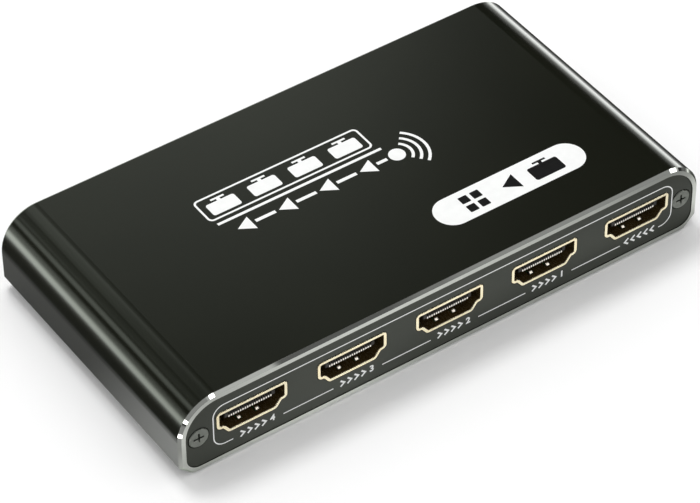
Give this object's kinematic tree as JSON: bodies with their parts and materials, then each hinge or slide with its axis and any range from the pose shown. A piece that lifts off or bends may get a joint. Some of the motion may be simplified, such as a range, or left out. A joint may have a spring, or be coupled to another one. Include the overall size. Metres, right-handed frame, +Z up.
{
  "type": "hdmi splitter",
  "caption": "Flat HDMI splitter in an extruded aluminium case: a row of output sockets and an input socket in one end panel, barrel power inlet and indicator lights in the other.",
  "frame": {"origin": "centre of the case's underside, on the surface that it lies on", "axes": "+X along the row of sockets, from output 4 to the input; -Y out of the sockets, +Y out of the power inlet; +Z up"},
  "size_m": [0.118, 0.062, 0.0174],
  "materials": {
    "black_anodised_case": "satin black anodised, with bare bright cut edges at both ends",
    "dark_panel": "matt dark grey coat",
    "dark_screw": "blackened steel",
    "board_laminate": "green glass-fibre laminate",
    "gold_shell": "gold plated",
    "gold_contact": "gold plated",
    "black_moulding": "fine moulded",
    "nickel_contact": "nickel plated",
    "tinned_lead": "tinned",
    "red_light": "clear tinted lens",
    "green_light": "clear tinted lens",
    "chip_resin": "moulded resin",
    "thermal_rubber": "soft pad",
    "plain_aluminium": "bare",
    "crystal_can": "drawn can",
    "ferrite": "sintered",
    "ceramic_chip": "sintered"
  },
  "bodies": {
    "root": {"capacitor_bases": "black_moulding", "capacitor_cans": "plain_aluminium", "chip_capacitors": "ceramic_chip", "chip_resistors": "chip_resin", "control_chip": "chip_resin", "control_chip_leads": "tinned_lead", "crystal": "crystal_can", "dc_jack_centre_pin": "nickel_contact", "dc_jack_housing": "black_moulding", "dc_jack_spring": "nickel_contact", "extruded_case": "black_anodised_case", "far_panel": "dark_panel", "far_panel_screws": "dark_screw", "hdmi_contacts_input": "gold_contact", "hdmi_contacts_output_1": "gold_contact", "hdmi_contacts_output_2": "gold_contact", "hdmi_contacts_output_3": "gold_contact", "hdmi_contacts_output_4": "gold_contact", "hdmi_insulator_input": "black_moulding", "hdmi_insulator_output_1": "black_moulding", "hdmi_insulator_output_2": "black_moulding", "hdmi_insulator_output_3": "black_moulding", "hdmi_insulator_output_4": "black_moulding", "hdmi_shell_input": "gold_shell", "hdmi_shell_output_1": "gold_shell", "hdmi_shell_output_2": "gold_shell", "hdmi_shell_output_3": "gold_shell", "hdmi_shell_output_4": "gold_shell", "heat_sink": "plain_aluminium", "input_equaliser_chip": "chip_resin", "light_holders": "black_moulding", "light_input": "green_light", "light_leads": "tinned_lead", "light_output_1": "green_light", "light_output_2": "green_light", "light_output_3": "green_light", "light_output_4": "green_light", "light_power": "red_light", "main_board": "board_laminate", "memory_chip": "chip_resin", "memory_chip_leads": "tinned_lead", "port_panel": "dark_panel", "port_panel_screws": "dark_screw", "power_inductor": "ferrite", "protection_arrays": "chip_resin", "protection_diode": "chip_resin", "resettable_fuse": "ferrite", "splitter_chip": "chip_resin", "splitter_chip_leads": "tinned_lead", "thermal_pad": "thermal_rubber", "voltage_regulators": "chip_resin"}
  },
  "joints": []
}
